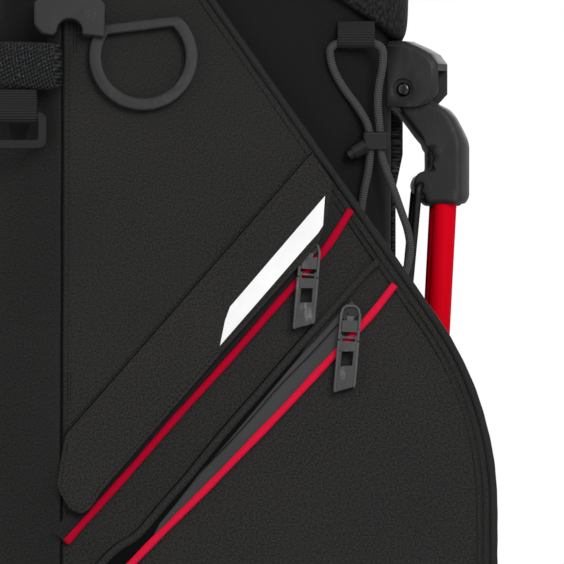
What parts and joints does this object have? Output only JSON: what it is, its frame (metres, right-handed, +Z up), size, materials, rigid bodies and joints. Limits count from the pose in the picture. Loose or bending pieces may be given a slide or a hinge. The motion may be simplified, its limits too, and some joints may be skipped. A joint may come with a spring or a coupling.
{
  "type": "golf stand bag",
  "caption": "Upright golf stand bag with divided club wells, hinged fold-out legs worked by a tilting foot plate, zipped side pockets, carry straps and a towel ring.",
  "frame": {"origin": "centre of the bag's section on the flat underside of the boot", "axes": "+Z up along the bag, +X towards the legs, -Y towards the left side pocket"},
  "size_m": [0.3784, 0.321, 0.8863],
  "materials": {
    "bag_fabric": "fine twill weave, coated, matte",
    "cuff_fabric": "coarse textured weave",
    "liner_fabric": "plain lining",
    "edge_piping": "covered cord piping",
    "red_piping": "red woven piping",
    "zip_coating": "coated waterproof zip tape",
    "moulded_grey": "satin moulded plastic",
    "moulded_black": "satin moulded plastic",
    "red_tube": "gloss red coating",
    "steel_wire": "black coated steel wire",
    "rivet_metal": "dark polished rivet",
    "foot_rubber": "moulded rubber",
    "slider_metal": "dark gunmetal",
    "puller_plastic": "soft moulded plastic",
    "label_white": "smooth printed patch",
    "strap_mesh": "spacer mesh",
    "webbing": "ribbed webbing",
    "cord_braid": "braided elastic cord"
  },
  "bodies": {
    "bag": {"boot": "moulded_black", "foot_hinge_pin": "rivet_metal", "shell": "bag_fabric", "collar": "moulded_black", "divider_panels": "liner_fabric", "top_cuff": "cuff_fabric", "front_handle": "moulded_black", "rear_handle": "moulded_black", "stay_rods": "moulded_black", "leg_bracket_left": "moulded_grey", "leg_bracket_right": "moulded_grey", "leg_rivet_left": "rivet_metal", "leg_rivet_right": "rivet_metal", "pocket_rim_left": "edge_piping", "pocket_rim_right": "edge_piping", "side_pocket_left": "bag_fabric", "side_pocket_right": "bag_fabric", "upper_zip": "zip_coating", "lower_zip": "zip_coating", "lower_zip_lip": "bag_fabric", "upper_piping": "red_piping", "lower_piping": "red_piping", "storm_flap": "bag_fabric", "label_patch": "label_white", "right_zip": "zip_coating", "right_piping": "red_piping", "ball_pocket": "bag_fabric", "ball_zip": "zip_coating", "ring_connector": "moulded_grey", "shoulder_strap_left": "strap_mesh", "shoulder_strap_right": "strap_mesh", "strap_webbing_left": "webbing", "strap_webbing_right": "webbing", "cord_tab": "webbing", "elastic_cord": "cord_braid", "cord_lock": "moulded_black", "hip_pad": "strap_mesh"},
    "leg_left": {"leg_elbow_left": "moulded_grey", "leg_tube_left": "red_tube", "leg_foot_left": "foot_rubber"},
    "leg_right": {"leg_elbow_right": "moulded_grey", "leg_tube_right": "red_tube", "leg_foot_right": "foot_rubber"},
    "rod_left": {"actuator_rod_left": "steel_wire"},
    "rod_right": {"actuator_rod_right": "steel_wire"},
    "foot_plate": {"foot_plate": "moulded_black"},
    "upper_slider": {"upper_slider": "slider_metal"},
    "upper_link": {"upper_link": "slider_metal"},
    "upper_puller": {"upper_puller": "puller_plastic"},
    "lower_slider": {"lower_slider": "slider_metal"},
    "lower_link": {"lower_link": "slider_metal"},
    "lower_puller": {"lower_puller": "puller_plastic"},
    "right_slider": {"right_slider": "slider_metal"},
    "right_puller": {"right_puller": "puller_plastic"},
    "ball_slider": {"ball_slider": "slider_metal"},
    "ball_puller": {"ball_puller": "puller_plastic"},
    "towel_ring": {"towel_ring": "moulded_grey"},
    "strap_loop_left": {"strap_loop_left": "moulded_grey"},
    "strap_loop_right": {"strap_loop_right": "moulded_grey"},
    "lock_button": {"lock_button": "moulded_black"}
  },
  "joints": [
    {"name": "leg_left_swing", "type": "hinge", "parent": "bag", "child": "leg_left", "pos_m": [0.1395, -0.062, 0.7686], "axis": [-0.342, -0.9397, 0], "range_deg": [0, 30]},
    {"name": "leg_right_swing", "type": "hinge", "parent": "bag", "child": "leg_right", "pos_m": [0.1395, 0.062, 0.7686], "axis": [0.342, -0.9397, 0], "range_deg": [0, 30]},
    {"name": "foot_plate_tilt", "type": "hinge", "parent": "bag", "child": "foot_plate", "pos_m": [0.066, 0, 0.008], "axis": [0, -1, 0], "range_deg": [0, 20]},
    {"name": "rod_left_hinge", "type": "hinge", "parent": "leg_left", "child": "rod_left", "pos_m": [0.1504, -0.06597, 0.7065], "axis": [-0.342, -0.9397, 0], "range_deg": [-33, 0]},
    {"name": "rod_right_hinge", "type": "hinge", "parent": "leg_right", "child": "rod_right", "pos_m": [0.1504, 0.06597, 0.7065], "axis": [0.342, -0.9397, 0], "range_deg": [-33, 0]},
    {"name": "upper_zip_slide", "type": "slide", "parent": "bag", "child": "upper_slider", "axis": [-0.6616, -0.0914, -0.7443], "range_m": [0, 0.19]},
    {"name": "upper_link_swing", "type": "hinge", "parent": "upper_slider", "child": "upper_link", "pos_m": [0.07508, -0.12241, 0.66363], "axis": [0, -0.9925, 0.1219], "range_deg": [-10, 24]},
    {"name": "upper_puller_lift", "type": "hinge", "parent": "upper_link", "child": "upper_puller", "pos_m": [0.07369, -0.1307, 0.64859], "axis": [-0.9962, 0.0106, 0.0865], "range_deg": [0, 90]},
    {"name": "lower_zip_slide", "type": "slide", "parent": "bag", "child": "lower_slider", "axis": [-0.6826, -0.0891, -0.7253], "range_m": [0, 0.235]},
    {"name": "lower_link_swing", "type": "hinge", "parent": "lower_slider", "child": "lower_link", "pos_m": [0.101, -0.12736, 0.6233], "axis": [0, -0.9925, 0.1219], "range_deg": [-30, 40]},
    {"name": "lower_puller_lift", "type": "hinge", "parent": "lower_link", "child": "lower_puller", "pos_m": [0.09961, -0.13566, 0.60826], "axis": [-0.9962, 0.0106, 0.0865], "range_deg": [0, 100]},
    {"name": "right_zip_slide", "type": "slide", "parent": "bag", "child": "right_slider", "axis": [-0.6826, 0.0891, -0.7253], "range_m": [0, 0.235]},
    {"name": "right_puller_lift", "type": "hinge", "parent": "right_slider", "child": "right_puller", "pos_m": [0.09961, 0.13566, 0.60826], "axis": [0.9962, 0.0106, -0.0865], "range_deg": [0, 100]},
    {"name": "ball_zip_slide", "type": "slide", "parent": "bag", "child": "ball_slider", "axis": [0, -1, 0], "range_m": [0, 0.088]},
    {"name": "ball_puller_lift", "type": "hinge", "parent": "ball_slider", "child": "ball_puller", "pos_m": [-0.1824, 0.044, 0.382], "axis": [0, 1, 0], "range_deg": [0, 100]},
    {"name": "towel_ring_swing", "type": "hinge", "parent": "bag", "child": "towel_ring", "pos_m": [-0.03447, -0.10965, 0.80856], "axis": [-0.9925, -0.0149, -0.121], "range_deg": [0, 18]},
    {"name": "strap_loop_left_swing", "type": "hinge", "parent": "bag", "child": "strap_loop_left", "pos_m": [-0.113, -0.109, 0.7505], "axis": [-1, 0, 0], "range_deg": [0, 80]},
    {"name": "strap_loop_right_swing", "type": "hinge", "parent": "bag", "child": "strap_loop_right", "pos_m": [-0.113, 0.109, 0.7505], "axis": [1, 0, 0], "range_deg": [0, 80]},
    {"name": "lock_button_press", "type": "slide", "parent": "bag", "child": "lock_button", "axis": [0.8575, 0, 0.5145], "range_m": [0, 0.003], "stiffness_N_per_m": 700}
  ],
  "couplings": [
    {"joint": "leg_right_swing", "follows": "leg_left_swing", "ratio": 1},
    {"joint": "foot_plate_tilt", "follows": "leg_left_swing", "ratio": 0.6666},
    {"joint": "rod_left_hinge", "follows": "leg_left_swing", "ratio": -1.095},
    {"joint": "rod_right_hinge", "follows": "leg_left_swing", "ratio": -1.095}
  ]
}
